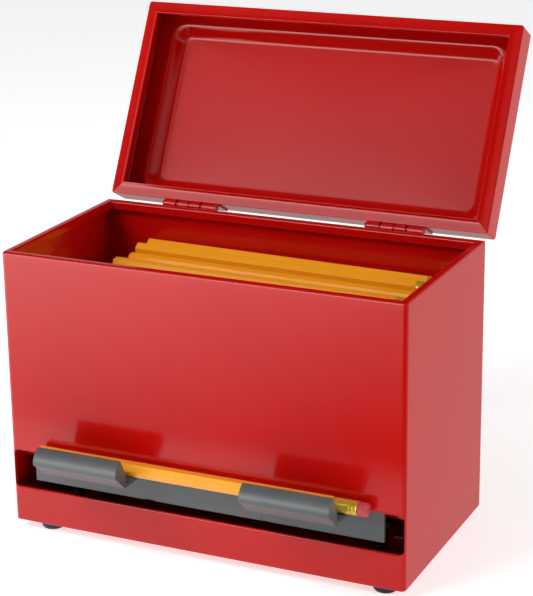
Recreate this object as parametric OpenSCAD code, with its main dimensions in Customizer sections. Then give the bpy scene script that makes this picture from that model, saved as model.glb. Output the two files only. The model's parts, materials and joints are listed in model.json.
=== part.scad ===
// Desk pencil dispenser: a painted sheet-steel case with a hinged lid, a sloping
// hopper floor and a sprung plastic cradle that lifts one pencil out at a time.

/* [Case] */
// Width of the case body
case_w = 228; // [220:1:240]
// Depth of the case body
case_d = 116; // [112:1:120]
// Height of the case body, without its feet
case_h = 153; // [148:1:160]
// Thickness of the painted steel sheet
sheet = 1; // [0.8:0.1:1.1]
// Outside radius of the two upright bends at the front
bend_r = 2.5; // [2:0.5:3]
// Width of the flat rim that is turned in along the top edge
rim_w = 4.5; // [4:0.5:5]
// Height of the hem that hangs from the rim on the inside
rim_drop = 5; // [4:0.5:7]

/* [Dispensing slot] */
// Height of the slot's lower edge above the case bottom
slot_bottom = 20; // [18:0.5:20]
// Height of the slot's upper edge above the case bottom
slot_top = 41; // [41:0.5:42]
// Corner radius of the slot
slot_r = 2.5; // [1:0.5:4]

/* [Lid] */
// Height of the lid
lid_h = 16; // [14:1:20]
// Angle between the closed lid and the lid on its stops
lid_open = 118; // [105:1:120]
// Gap between the closed lid and the rim
lid_gap = 0.4; // [0.3:0.1:0.6]
// Width of the mitred frame around the underside
frame_w = 7; // [6:0.5:8]
// Height by which the centre panel is pressed outwards
panel_depth = 5.4; // [4:0.2:6]

/* [Hinges] */
// Length of each hinge along its pin
hinge_l = 33; // [30:1:40]
// Distance from the centre of the case to the middle of each hinge
hinge_x = 62; // [50:1:75]
// Outside radius of the knuckles
knuckle_r = 2.2; // [2:0.1:2.4]
// Radius of the hinge pin
hinge_pin_r = 1.2; // [1:0.1:1.3]

/* [Cradle] */
// Distance from the case centre to the inner end of each ear
ear_inner = 35; // [30:1:40]
// Distance from the case centre to the outer end of each ear
ear_outer = 84; // [75:1:86]
// Distance from the case front to the foremost line of the ears
ear_reach = 27; // [24:1:28]
// Width of the apron behind the ears
apron_w = 203; // [196:1:206]
// Downward travel of the cradle
cradle_travel = 8; // [6:1:8]
// Radius of the pivot rod
rod_r = 2; // [1.8:0.1:2.2]

/* [Pencils] */
// Size of a pencil across its flats
pencil_af = 7.2; // [6.8:0.1:7.2]
// Length of a new pencil with its eraser
pencil_l = 190; // [180:1:192]
// Slope of the hopper floor
floor_slope = 38; // [34:1:40]

/* [Feet] */
// Height of a rubber foot
foot_h = 5; // [4:0.5:6]
// Radius of a rubber foot
foot_r = 7; // [6.5:0.5:8]

/* [Hidden] */
$fn = 48;
eps = 0.01;

// Case planes
half_w = case_w / 2;
half_d = case_d / 2;
inner_w = case_w - 2 * sheet;
front_in = -half_d + sheet;
back_in = half_d - sheet;
flange_h = 9;
flange_gap = 1;
flange_top = flange_h + flange_gap;
weld_flange = 8;
weld_flange_h = 79;
hem_h = 6;
// What is left of the side walls beyond the ends of the slot
slot_end_wall = 0.7;
slot_w = case_w - 2 * slot_end_wall;

// Lid hinge: its axis lies in the plane on which the lid closes
hinge_clear = 0.25;
hinge_y = half_d + hinge_clear + knuckle_r;
hinge_z = case_h + lid_gap;
leaf_t = 0.9;
leaf_h = 12;
knuckles = 4;
lid_corner_r = 1.5;
lid_edge_r = 1.2;
stop_w = 5;
stop_gap = 0.1;
lug_near = 4.5;
lug_far = 10.5;
lug_root_top = 6;
lug_root_bottom = 14;

// The lid's top is pressed outwards twice: a shallow step, then a panel with sloping sides
step_margin_x = 12;
step_margin_y = 8.6;
step_r = 8;
step_depth = 1;
panel_foot_x = 13;
panel_foot_y = 9.6;
panel_slope_w = 4.2;

// The frame around the lid's underside: flat, then bent down to its folded inner edge
frame_flat = 4.9;
frame_drop = 1.3;
frame_lip = 2;

// Cradle: its shelf, its apron and its pivot
shelf_z = 40.2;
shelf_t = 2;
shelf_back = -half_d + 12.5;
apron_front = -half_d + 3.5;
apron_t = 2;
apron_bottom = 23.7;
ear_front = -half_d - ear_reach;
ear_heel = ear_front + 10;
ear_heel_z = 38.2;
ear_crease_z = 46.8;
ear_top_z = 55.3;
ear_nose_r = 7.5;
pivot_y = 8;
pivot_z = 24;
run_clear = 0.05;
boss_r = 5.5;
boss_l = 10;
arm_x = 90;
arm_t = 4;
arm_top = 31.5;
boss_x = 91;

// Two round marks at the foot of the apron: [place along it, height over its edge, depth]
apron_marks = [[-32, -1.2, 0.8], [36, 1, 0.3]];
apron_mark_r = 3;

// Pivot brackets
bracket_x = 99;
bracket_t = 1.2;
bracket_r = 8;
bracket_foot = 12;
clip_t = 0.8;
clip_x = 102.5;
clip_groove_r = rod_r - 0.4;
rod_l = 2 * 104;
rivet_r = 1.6;
rivet_head_r = 3;
rivet_head_h = 0.9;

// Return springs, which stand on the base under the cradle's arms
spring_y = -30;
spring_top = 21;
spring_r = 3.6;
spring_wire_r = 0.45;
spring_turns = 6;
spring_steps = 14;
spring_sides = 8;
guide_r = 2.4;
guide_h = 10;
pad_r = 5.5;

// Hopper floor, from its front edge beside the shelf to the back wall
floor_front = -half_d + 14;
floor_front_z = 40.5;
floor_lip = 7.5;
floor_run = back_in - floor_front;
floor_back_z = floor_front_z + floor_run * tan(floor_slope);

// Pencils
pencil_r = pencil_af / 2 / cos(30);
lead_r = 1.1;
ferrule_l = 14;
ferrule_r = 3.85;
ferrule_t = 0.3;
tenon_l = 8;
eraser_l = 5.4;
wood_l = pencil_l - ferrule_l - eraser_l;
ready_y = -half_d - 5;
ready_z = shelf_z + ferrule_r + 0.1;
ready_x = -93.4;
stock_left = -92;
stock_pitch = 2 * pencil_r + 0.25;
stock_row = stock_pitch * sin(60);
stock_rows = 8;
stock_columns = 17;
// The loose pencils on top: [distance in from the back wall, height, shift along the hopper]
top_pencils = [[5.2, 129.9, 7.3], [13.6, 129.4, 4.5], [22.2, 125.7, 4.3], [30.9, 125, -1]];
top_yaw = -1.2;
top_pitch = 0.4;
// Upper limit of the settled stack at the back wall, and its fall towards the front
stack_top = 123;
stack_fall = 16;

// Feet, which sit a little to the right of the middle
foot_x = half_w - 16;
foot_shift = 2;
foot_y = half_d - 10;
foot_screw_r = 1.5;
foot_hole_r = 1.7;
screw_head_r = 3.2;
screw_head_h = 1.4;
nut_af = 5.5;
nut_h = 2.4;

// The case stands with its feet on the ground and the whole outline centred front to back
lid_reach_y = hinge_y + (half_d * 2 + knuckle_r + hinge_clear - lid_edge_r) * -cos(lid_open)
    + (lid_h - lid_edge_r) * sin(lid_open) + lid_edge_r;
centre_y = (lid_reach_y + ear_front) / 2;

// ---------- shared shapes ----------

module in_frame() {
    translate([0, -centre_y, foot_h]) children();
}

// A rectangle with round corners, built from true arcs
module rounded_plate(w, d, r) {
    square([w - 2 * r, d], center = true);
    square([w, d - 2 * r], center = true);
    for (x = [-1, 1], y = [-1, 1])
        translate([x * (w / 2 - r), y * (d / 2 - r)]) circle(r);
}

// A profile drawn in (y, z) and pushed along x
module along_x(x0, x1) {
    translate([x0, 0, 0]) rotate([90, 0, 90]) linear_extrude(x1 - x0) children();
}

// A profile drawn in (x, z) and pushed along y
module along_y(y0, y1) {
    translate([0, y1, 0]) rotate([90, 0, 0]) linear_extrude(y1 - y0) children();
}

module rod_x(x0, x1, r) {
    translate([x0, 0, 0]) rotate([0, 90, 0]) cylinder(h = x1 - x0, r = r);
}

// ---------- case ----------

module case_outline(inset) {
    rounded_plate(case_w - 2 * inset, case_d - 2 * inset, bend_r - min(inset, sheet));
    translate([-half_w + inset, 0]) square([case_w - 2 * inset, half_d - inset]);
}

module case_ring(inset, t) {
    difference() {
        case_outline(inset);
        case_outline(inset + t);
    }
}

// The rim's corner joints run at 45 degrees from the back corners
module back_mitre() {
    t = rim_w + 4;
    polygon([[-half_w - 1, half_d + 1], [-half_w + t, half_d - t],
        [half_w - t, half_d - t], [half_w + 1, half_d + 1]]);
}

module mitre_block() {
    translate([0, 0, case_h - rim_drop - 1]) linear_extrude(rim_drop + 2) back_mitre();
}

module rim_ring() {
    translate([0, 0, case_h - sheet]) linear_extrude(sheet) case_ring(0, rim_w);
    translate([0, 0, case_h - rim_drop]) linear_extrude(rim_drop) case_ring(rim_w - sheet, sheet);
    translate([0, 0, case_h - rim_drop]) linear_extrude(rim_drop) case_ring(0, sheet);
}

module slot_cut() {
    slot_h = slot_top - slot_bottom;
    along_y(-half_d - 1, front_in + sheet)
        translate([0, slot_bottom + slot_h / 2]) rounded_plate(slot_w, slot_h, slot_r);
}

// The sheet is folded double behind the slot's two long edges
module slot_hems() {
    for (z = [slot_bottom - hem_h, slot_top])
        translate([-half_w + bend_r + 2, front_in, z]) cube([case_w - 2 * bend_r - 4, sheet, hem_h]);
}

module case_wrap() {
    color("firebrick") in_frame() {
        difference() {
            union() {
                linear_extrude(case_h - rim_drop) difference() {
                    case_ring(0, sheet);
                    translate([-inner_w / 2, 0]) square([inner_w, half_d + 1]);
                }
                difference() {
                    rim_ring();
                    mitre_block();
                }
                slot_hems();
            }
            slot_cut();
        }
    }
}

module back_panel() {
    color("firebrick") in_frame() {
        translate([-inner_w / 2, back_in, 0]) cube([inner_w, sheet, case_h - rim_drop]);
        intersection() {
            rim_ring();
            mitre_block();
        }
        for (side = [-1, 1])
            translate([side * (inner_w - sheet) / 2 - sheet / 2, back_in - weld_flange, flange_top])
                cube([sheet, weld_flange + eps, weld_flange_h]);
    }
}

module foot_places() {
    for (x = [-1, 1], y = [-1, 1])
        translate([x * foot_x + foot_shift, y * foot_y, 0]) children();
}

module rivet_places() {
    for (x = [-1, 1], y = [-5, 5])
        translate([x * (bracket_x - bracket_foot / 2), pivot_y + y, 0]) children();
}

module base_plate() {
    color("firebrick") in_frame() difference() {
        linear_extrude(flange_h) case_outline(sheet);
        translate([0, 0, sheet]) linear_extrude(flange_h) case_outline(2 * sheet);
        foot_places() translate([0, 0, -1]) cylinder(h = sheet + 2, r = foot_hole_r);
        rivet_places() translate([0, 0, -1]) cylinder(h = sheet + 2, r = rivet_r);
    }
}

module hopper_floor() {
    slope_t = sheet / cos(floor_slope);
    side_flange = 10;
    flange_front = floor_front + side_flange;
    flange_back = back_in - weld_flange - 1;
    front_z = floor_front_z + side_flange * tan(floor_slope) - slope_t;
    back_z = floor_back_z - (weld_flange + 1) * tan(floor_slope) - slope_t;
    color("firebrick") in_frame() {
        along_x(-inner_w / 2, inner_w / 2) polygon([
            [floor_front, floor_front_z], [back_in, floor_back_z], [back_in, floor_back_z - slope_t],
            [floor_front + sheet, floor_front_z - slope_t + sheet * tan(floor_slope)],
            [floor_front + sheet, floor_front_z - floor_lip], [floor_front, floor_front_z - floor_lip]]);
        for (x = [-inner_w / 2, inner_w / 2 - sheet])
            along_x(x, x + sheet) polygon([[flange_front, front_z], [flange_back, back_z],
                [flange_back, back_z - side_flange], [flange_front, front_z - side_flange]]);
    }
}

// ---------- cradle ----------

// Cross-section of an ear: a floor, a slanting underside and a rounded nose
module ear_profile() {
    heel = ear_heel;
    polygon([[apron_front, ear_heel_z], [heel, ear_heel_z], [ear_front + 0.6, ear_crease_z],
        [ear_front + 0.6, ear_crease_z + 1], [heel + 0.5, ear_crease_z + 1], [heel + 1.5, shelf_z],
        [apron_front, shelf_z]]);
    // the nose: a quarter round in front and an almost upright face towards the pencil
    intersection() {
        translate([ear_front + ear_nose_r, ear_top_z - ear_nose_r]) circle(ear_nose_r);
        translate([ear_front, ear_crease_z]) square([ear_nose_r * 2, ear_top_z - ear_crease_z]);
        polygon([[ear_front, ear_crease_z], [heel + 0.7, ear_crease_z], [ear_front + 5.9, ear_top_z],
            [ear_front, ear_top_z]]);
    }
    polygon([[ear_front, ear_crease_z], [ear_front, ear_crease_z + 0.8], [heel + 0.6, ear_crease_z + 0.8],
        [heel + 0.7, ear_crease_z]]);
}

// A small three-cornered pocket left by the mould at the left end of each ear
module ear_pocket(x) {
    along_x(x + 1.2, x + 6) polygon([[ear_front + 2.4, ear_crease_z - 0.4], [ear_heel - 0.4, ear_heel_z + 2],
        [ear_heel - 0.4, ear_crease_z - 0.4]]);
}

module ear(x) {
    difference() {
        along_x(x, x + ear_outer - ear_inner) ear_profile();
        ear_pocket(x);
    }
}

module cradle_arm(side) {
    translate([side * arm_x - arm_t / 2, 0, 0]) along_x(0, arm_t)
        polygon([[apron_front + apron_t / 2, apron_bottom + 1], [apron_front + apron_t / 2, shelf_z - 1],
            [shelf_back, shelf_z - 1], [shelf_back - 0.3, arm_top], [pivot_y, pivot_z + boss_r],
            [pivot_y, pivot_z - boss_r], [spring_y, spring_top]]);
    translate([side * arm_x, spring_y, spring_top]) cylinder(h = 3, r = pad_r);
    translate([0, pivot_y, pivot_z]) rod_x(side * boss_x - boss_l / 2, side * boss_x + boss_l / 2, boss_r);
}

module cradle() {
    color("dimgray") in_frame() difference() {
        union() {
            translate([-apron_w / 2, apron_front, shelf_z - shelf_t])
                cube([apron_w, shelf_back - apron_front, shelf_t]);
            translate([-apron_w / 2, apron_front, apron_bottom])
                cube([apron_w, apron_t, shelf_z - apron_bottom]);
            for (x = [-ear_outer, ear_inner]) ear(x);
            for (side = [-1, 1]) cradle_arm(side);
        }
        for (side = [-1, 1])
            translate([0, pivot_y, pivot_z])
                rod_x(side * boss_x - boss_l / 2 - 1, side * boss_x + boss_l / 2 + 1, rod_r + run_clear);
        for (mark = apron_marks)
            along_y(apron_front - 1, apron_front + mark[2])
                translate([mark[0], apron_bottom + mark[1]]) circle(apron_mark_r);
    }
}

module pivot_rod() {
    color("silver") in_frame() translate([0, pivot_y, pivot_z]) difference() {
        rod_x(-rod_l / 2, rod_l / 2, rod_r);
        for (side = [-1, 1]) difference() {
            rod_x(side * clip_x - clip_t / 2, side * clip_x + clip_t / 2, rod_r + 1);
            rod_x(side * clip_x - clip_t / 2 - 1, side * clip_x + clip_t / 2 + 1, clip_groove_r);
        }
    }
}

module pivot_bracket(side) {
    foot_l = 20;
    plate_x = side > 0 ? bracket_x - bracket_t : -bracket_x;
    foot_x0 = side > 0 ? bracket_x - bracket_foot : -bracket_x;
    color("firebrick") in_frame() difference() {
        union() {
            along_x(plate_x, plate_x + bracket_t) {
                translate([pivot_y - bracket_r, sheet]) square([2 * bracket_r, pivot_z - sheet]);
                translate([pivot_y, pivot_z]) circle(bracket_r);
            }
            translate([foot_x0, pivot_y - foot_l / 2, sheet]) cube([bracket_foot, foot_l, bracket_t]);
        }
        translate([plate_x - 1, pivot_y, pivot_z]) rod_x(0, bracket_t + 2, rod_r);
        rivet_places() cylinder(h = 2 * bracket_t + 2, r = rivet_r);
    }
}

module bracket_rivets() {
    color("silver") in_frame() rivet_places() {
        cylinder(h = sheet + bracket_t, r = rivet_r);
        translate([0, 0, -rivet_head_h]) cylinder(h = rivet_head_h, r = rivet_head_r);
        translate([0, 0, sheet + bracket_t]) cylinder(h = rivet_head_h, r = rivet_r + 0.8);
    }
}

module rod_clips() {
    clip_r = 4;
    clip_mouth = 1.6 * clip_groove_r;
    color("silver") in_frame() translate([0, pivot_y, pivot_z]) for (side = [-1, 1]) difference() {
        rod_x(side * clip_x - clip_t / 2, side * clip_x + clip_t / 2, clip_r);
        rod_x(side * clip_x - clip_t, side * clip_x + clip_t, clip_groove_r);
        translate([side * clip_x - clip_t, -clip_mouth / 2, 0]) cube([2 * clip_t, clip_mouth, clip_r]);
    }
}

// ---------- return springs and stops ----------

function helix_centre(t, z0, z1, r) =
    [r * cos(360 * t), r * sin(360 * t), z0 + (z1 - z0) * t / spring_turns];

function helix_ring(t, z0, z1, r, wire) = [for (k = [0:spring_sides - 1])
    let (turn = 360 * k / spring_sides)
    helix_centre(t, z0, z1, r) + wire * [cos(turn) * cos(360 * t), cos(turn) * sin(360 * t), sin(turn)]];

module coil_spring(z0, z1, r, wire) {
    last = spring_turns * spring_steps;
    points = [for (i = [0:last]) each helix_ring(i / spring_steps, z0, z1, r, wire)];
    sides = [for (i = [0:last - 1], k = [0:spring_sides - 1])
        let (a = i * spring_sides + k, b = i * spring_sides + (k + 1) % spring_sides)
        [a, a + spring_sides, b + spring_sides, b]];
    start_cap = [for (k = [0:spring_sides - 1]) k];
    end_cap = [for (k = [spring_sides - 1:-1:0]) last * spring_sides + k];
    polyhedron(points, concat([start_cap], sides, [end_cap]), convexity = 10);
}

module return_spring(side) {
    color("dimgray") in_frame() translate([side * arm_x, spring_y, 0])
        coil_spring(sheet + spring_wire_r + 0.05, spring_top - spring_wire_r - 0.05, spring_r, spring_wire_r);
}

module spring_guides() {
    color("dimgray") in_frame() for (side = [-1, 1]) translate([side * arm_x, spring_y, sheet])
        cylinder(h = guide_h, r = guide_r);
}

module up_stops() {
    stop_t = floor_front_z - floor_lip - arm_top - 0.2;
    color("black") in_frame() for (side = [-1, 1])
        translate([side * arm_x - 5, floor_front - 0.5, arm_top + 0.2]) cube([10, 2 * sheet, stop_t]);
}

// ---------- lid ----------

// Everything on the lid is drawn closed and then swung open about the hinge axis
module lid_opened() {
    translate([0, hinge_y, hinge_z]) rotate([-lid_open, 0, 0]) translate([0, -hinge_y, -hinge_z]) children();
}

module lid_block(inset) {
    w = case_w - 2 * inset;
    d = case_d - 2 * inset;
    r = lid_edge_r - min(inset, sheet);
    top = hinge_z + lid_h - inset;
    intersection() {
        translate([0, 0, hinge_z]) linear_extrude(lid_h)
            rounded_plate(w, d, lid_corner_r - min(inset, sheet));
        along_x(-half_w, half_w) translate([0, top - lid_h]) rounded_plate(d, 2 * lid_h, r);
        along_y(-half_d, half_d) translate([0, top - lid_h]) rounded_plate(w, 2 * lid_h, r);
    }
}

// The shallow step, grown by the sheet for its outer face
module lid_step(grow, z0) {
    w = case_w - 2 * (step_margin_x - grow);
    d = case_d - 2 * (step_margin_y - grow);
    translate([0, 0, z0]) linear_extrude(step_depth + 1) rounded_plate(w, d, step_r + grow);
}

// The panel over the step: a low block with four sloping sides, sunk by one sheet at its foot.
// Its outer face is grown sideways too, so that the slopes keep the thickness of the sheet.
module lid_panel(grow, z0) {
    run = panel_slope_w * (1 + sheet / panel_depth);
    spread = grow * tan(atan(panel_depth / panel_slope_w) / 2) + run;
    x0 = half_w - panel_foot_x - panel_slope_w + spread;
    y0 = half_d - panel_foot_y - panel_slope_w + spread;
    x1 = x0 - run;
    y1 = y0 - run;
    h = panel_depth + sheet;
    translate([0, 0, z0 - sheet]) polyhedron([[-x0, -y0, 0], [x0, -y0, 0], [x0, y0, 0], [-x0, y0, 0],
        [-x1, -y1, h], [x1, -y1, h], [x1, y1, h], [-x1, y1, h]],
        [[0, 1, 2, 3], [4, 7, 6, 5], [0, 4, 5, 1], [1, 5, 6, 2], [2, 6, 7, 3], [3, 7, 4, 0]]);
}

// One side of the mitred frame: length l, with its outer face on the plane y = -reach
module frame_side(l, reach) {
    intersection() {
        along_x(-l / 2, l / 2) translate([-reach, hinge_z]) polygon([[sheet, 0], [frame_flat, 0],
            [frame_w, -frame_drop], [frame_w, frame_lip], [frame_w - sheet, frame_lip],
            [frame_w - sheet, sheet / 2], [frame_flat + sheet / 4, sheet], [sheet, sheet]]);
        translate([0, 0, hinge_z - frame_drop]) linear_extrude(lid_h)
            polygon([[-l / 2, -reach], [l / 2, -reach], [0, -reach + l / 2]]);
    }
}

module lid_shell() {
    top = hinge_z + lid_h;
    color("firebrick") in_frame() lid_opened() {
        difference() {
            union() {
                lid_block(0);
                lid_step(sheet, top - 1);
                lid_panel(sheet, top + step_depth);
            }
            union() {
                lid_block(sheet);
                lid_step(0, top - sheet - 1);
                lid_panel(0, top - sheet + step_depth);
            }
            translate([0, 0, hinge_z - 1]) linear_extrude(1 + eps) square([case_w, case_d], center = true);
        }
        for (turn = [0, 180]) rotate([0, 0, turn]) frame_side(case_w, half_d);
        for (turn = [90, 270]) rotate([0, 0, turn]) frame_side(case_d, half_w);
    }
}

// ---------- hinges ----------

// Ends of each knuckle, from the hinge's left end; even ones belong to the lid
function knuckle_from(i) = hinge_l * [0, 0.27, 0.494, 0.733][i];
function knuckle_to(i) = hinge_l * [0.227, 0.479, 0.691, 1][i];

module knuckle(x, i) {
    x0 = x - hinge_l / 2 + knuckle_from(i);
    x1 = x - hinge_l / 2 + knuckle_to(i);
    difference() {
        union() {
            translate([0, hinge_y, hinge_z]) rod_x(x0, x1, knuckle_r);
            children();
        }
        translate([0, hinge_y, hinge_z]) rod_x(x0 - 1, x1 + 1, hinge_pin_r + run_clear);
    }
}

// dir is 1 for the leaf on the lid and -1 for the leaf on the case
module hinge_leaf(x, dir, first) {
    clear = knuckle_r + 0.4;
    z0 = dir > 0 ? hinge_z + clear : hinge_z - clear - leaf_h;
    difference() {
        translate([x - hinge_l / 2, half_d, z0]) cube([hinge_l, leaf_t, leaf_h]);
        leaf_rivet_places(x, dir) cylinder(h = 6, r = rivet_r, center = true);
    }
    for (i = [first:2:knuckles - 1]) knuckle(x, i)
        translate([x - hinge_l / 2 + knuckle_from(i), half_d, dir > 0 ? hinge_z : hinge_z - clear - eps])
            cube([knuckle_to(i) - knuckle_from(i), leaf_t, clear + eps]);
}

module leaf_rivet_places(x, dir) {
    for (side = [-1, 1])
        translate([x + side * hinge_l * 0.3, half_d, hinge_z + dir * (knuckle_r + leaf_h * 0.55)])
            rotate([90, 0, 0]) children();
}

// A lug behind the knuckles on which the lid's leaf comes to rest
function lug_point(a, b) = [hinge_y - a * cos(lid_open) + b * sin(lid_open),
    hinge_z + a * sin(lid_open) + b * cos(lid_open)];

module stop_lug(x) {
    a = hinge_clear + knuckle_r - leaf_t - stop_gap;
    along_x(x - stop_w / 2, x + stop_w / 2) polygon([[half_d, hinge_z - lug_root_bottom],
        [half_d, hinge_z - lug_root_top], lug_point(a, lug_near), lug_point(a, lug_far)]);
}

module hinge_case_leaf(x) {
    color("firebrick") in_frame() {
        hinge_leaf(x, -1, 1);
        stop_lug(x);
    }
}

module hinge_lid_leaf(x) {
    color("firebrick") in_frame() lid_opened() hinge_leaf(x, 1, 0);
}

module hinge_pin(x) {
    color("firebrick") in_frame() translate([x, hinge_y, hinge_z]) {
        rod_x(-hinge_l / 2 - 0.2, hinge_l / 2, hinge_pin_r);
        rod_x(-hinge_l / 2 - 0.9, -hinge_l / 2 - 0.2, hinge_pin_r + 0.5);
    }
}

module leaf_rivets(dir) {
    tail = 0.8;
    for (x = [-hinge_x, hinge_x]) leaf_rivet_places(x, dir) {
        translate([0, 0, -leaf_t]) cylinder(h = leaf_t, r = rivet_r);
        translate([0, 0, -leaf_t - tail]) cylinder(h = tail, r = rivet_r + 1);
    }
}

// ---------- feet ----------

module foot(x, y) {
    color("black") in_frame() translate([x * foot_x + foot_shift, y * foot_y, -foot_h]) difference() {
        union() {
            rotate_extrude() polygon([[0, 0.8], [0, foot_h], [foot_r, foot_h], [foot_r, foot_h - 0.8],
                [foot_r - 0.6, 0.8]]);
            cylinder(h = 1, r = foot_r - 1.2);
        }
        translate([0, 0, -1]) cylinder(h = foot_h + 2, r = foot_screw_r);
        translate([0, 0, -1]) cylinder(h = 1 + foot_h / 2, r = screw_head_r + 0.3);
    }
}

module foot_screws() {
    color("silver") in_frame() foot_places() translate([0, 0, -foot_h / 2]) {
        translate([0, 0, -screw_head_h]) difference() {
            cylinder(h = screw_head_h, r = screw_head_r);
            translate([-0.4, -screw_head_r, -1]) cube([0.8, 2 * screw_head_r, 1.6]);
        }
        cylinder(h = foot_h / 2 + sheet + nut_h + 0.6, r = foot_screw_r);
    }
}

module foot_nuts() {
    color("silver") in_frame() foot_places() translate([0, 0, sheet]) difference() {
        cylinder(h = nut_h, r = nut_af / 2 / cos(30), $fn = 6);
        translate([0, 0, -1]) cylinder(h = nut_h + 2, r = foot_screw_r);
    }
}

// ---------- pencils ----------

// Each pencil lies along x with its flat cut end at the origin; roll turns it about its own axis
module pencil_wood(roll) {
    rotate([roll, 0, 0]) difference() {
        union() {
            rotate([0, 90, 0]) cylinder(h = wood_l, r = pencil_r, $fn = 6);
            rod_x(wood_l, wood_l + tenon_l, ferrule_r - ferrule_t);
        }
        rod_x(-1, wood_l + tenon_l + 1, lead_r);
    }
}

module pencil_lead() {
    rod_x(0, wood_l + tenon_l, lead_r);
}

module pencil_ferrule() {
    difference() {
        rod_x(wood_l, wood_l + ferrule_l, ferrule_r);
        rod_x(wood_l - 1, wood_l + ferrule_l + 1, ferrule_r - ferrule_t);
    }
}

module pencil_eraser() {
    rod_x(wood_l + tenon_l, pencil_l, ferrule_r - ferrule_t);
}

module ready_place() {
    in_frame() translate([ready_x, ready_y, ready_z]) children();
}

// Place of a pencil in the stack: rows lie parallel to the hopper floor
function stack_y(i, j) = floor_front + ((i + (j % 2) / 2) * stock_pitch + 1) * cos(floor_slope)
    - (stock_pitch / 2 + j * stock_row) * sin(floor_slope);
function stack_z(i, j) = floor_front_z + ((i + (j % 2) / 2) * stock_pitch + 1) * sin(floor_slope)
    + (stock_pitch / 2 + j * stock_row) * cos(floor_slope);
function in_stack(y, z) = y < back_in - stock_pitch / 2 && y > front_in + sheet + stock_pitch / 2
    && z < stack_top - (back_in - y) * tan(stack_fall);
function stack_shift(i, j) = 4 * sin(137 * i + 71 * j);
function stack_roll(i, j) = 60 * (sin(53 * i + 97 * j) + 1) / 2;

module stock_places() {
    in_frame() {
        for (j = [0:stock_rows - 1], i = [-6:stock_columns])
            if (in_stack(stack_y(i, j), stack_z(i, j)))
                translate([stock_left + stack_shift(i, j), stack_y(i, j), stack_z(i, j)])
                    rotate([stack_roll(i, j), 0, 0]) children();
        for (p = top_pencils)
            translate([stock_left + p[2], back_in - p[0], p[1]])
                rotate([p[1] * 7, top_pitch, top_yaw]) children();
    }
}

// ---------- output ----------

case_wrap();
back_panel();
base_plate();
hopper_floor();
cradle();
pivot_rod();
pivot_bracket(-1);  // left_pivot_bracket
pivot_bracket(1);  // right_pivot_bracket
bracket_rivets();
rod_clips();
return_spring(-1);  // left_return_spring
return_spring(1);  // right_return_spring
spring_guides();
up_stops();
lid_shell();
hinge_case_leaf(-hinge_x);  // left_hinge_case_leaf
hinge_lid_leaf(-hinge_x);  // left_hinge_lid_leaf
hinge_pin(-hinge_x);  // left_hinge_pin
hinge_case_leaf(hinge_x);  // right_hinge_case_leaf
hinge_lid_leaf(hinge_x);  // right_hinge_lid_leaf
hinge_pin(hinge_x);  // right_hinge_pin
color("firebrick") in_frame() leaf_rivets(-1);  // case_hinge_rivets
color("firebrick") in_frame() lid_opened() leaf_rivets(1);  // lid_hinge_rivets
foot(-1, -1);  // front_left_foot
foot(1, -1);  // front_right_foot
foot(-1, 1);  // back_left_foot
foot(1, 1);  // back_right_foot
foot_screws();
foot_nuts();
color("orange") ready_place() pencil_wood(30);  // ready_pencil_wood
color("dimgray") ready_place() pencil_lead();  // ready_pencil_lead
color("gold") ready_place() pencil_ferrule();  // ready_pencil_ferrule
color("indianred") ready_place() pencil_eraser();  // ready_pencil_eraser
color("orange") stock_places() pencil_wood(0);  // stock_pencil_wood
color("dimgray") stock_places() pencil_lead();  // stock_pencil_leads
color("gold") stock_places() pencil_ferrule();  // stock_pencil_ferrules
color("indianred") stock_places() pencil_eraser();  // stock_pencil_erasers
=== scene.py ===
"""Looks for the desk pencil dispenser: painted steel, moulded plastic, rubber feet and lacquered pencils."""
import json
import math

import bmesh
import bpy
from mathutils import Matrix, Vector


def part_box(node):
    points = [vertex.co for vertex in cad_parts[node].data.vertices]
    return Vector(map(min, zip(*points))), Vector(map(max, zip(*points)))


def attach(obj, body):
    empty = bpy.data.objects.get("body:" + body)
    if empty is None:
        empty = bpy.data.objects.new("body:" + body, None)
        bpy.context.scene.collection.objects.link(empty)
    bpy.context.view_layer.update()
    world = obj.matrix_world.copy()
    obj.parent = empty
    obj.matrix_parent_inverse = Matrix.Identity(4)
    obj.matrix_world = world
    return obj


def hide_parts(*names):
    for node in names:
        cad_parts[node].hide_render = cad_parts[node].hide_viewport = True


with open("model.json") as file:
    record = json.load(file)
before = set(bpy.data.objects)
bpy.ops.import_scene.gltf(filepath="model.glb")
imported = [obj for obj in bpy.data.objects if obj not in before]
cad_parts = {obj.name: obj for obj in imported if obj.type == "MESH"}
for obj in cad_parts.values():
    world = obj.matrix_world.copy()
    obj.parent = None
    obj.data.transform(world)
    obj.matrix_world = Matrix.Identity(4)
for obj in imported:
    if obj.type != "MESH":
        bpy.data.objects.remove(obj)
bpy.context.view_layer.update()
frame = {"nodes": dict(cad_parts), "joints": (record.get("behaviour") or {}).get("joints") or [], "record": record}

MM = 0.001
ARC = 8  # steps in a quarter turn of a rounded edge

# ---------- places, worked out from the frame ----------

case_low, case_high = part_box("case_wrap")
case_low = case_low.copy()
case_high = case_high.copy()
HALF_W = (case_high.x - case_low.x) / 2
HALF_D = (case_high.y - case_low.y) / 2
CASE_MID = Vector(((case_low.x + case_high.x) / 2, (case_low.y + case_high.y) / 2, case_low.z))
CASE_H = case_high.z - case_low.z
SHEET = 1 * MM
BEND_R = 2.5 * MM
RIM_W = 4.5 * MM
RIM_DROP = 5 * MM
FOLD_H = 6 * MM  # how far the folds along the slot reach
MITRE_GAP = 0.2 * MM
joints = {joint["name"]: joint for joint in frame["joints"]}
HINGE = Vector(joints["lid_hinge"]["pos_m"])
LID_OPEN = -math.radians(joints["lid_hinge"]["range_deg"][0])
LID_H = 16 * MM
PANEL_DEPTH = 6.4  # mm, how far the lid's centre panel is pressed outwards
PANEL_SAG = 0.8  # mm
PRESS_STEPS = 14  # rings down the panel's sloping sides
PANEL_STEPS = 16  # rings from the panel's edge to its middle
SLOT_BOTTOM = 20 * MM
SLOT_TOP = 41 * MM
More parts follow.
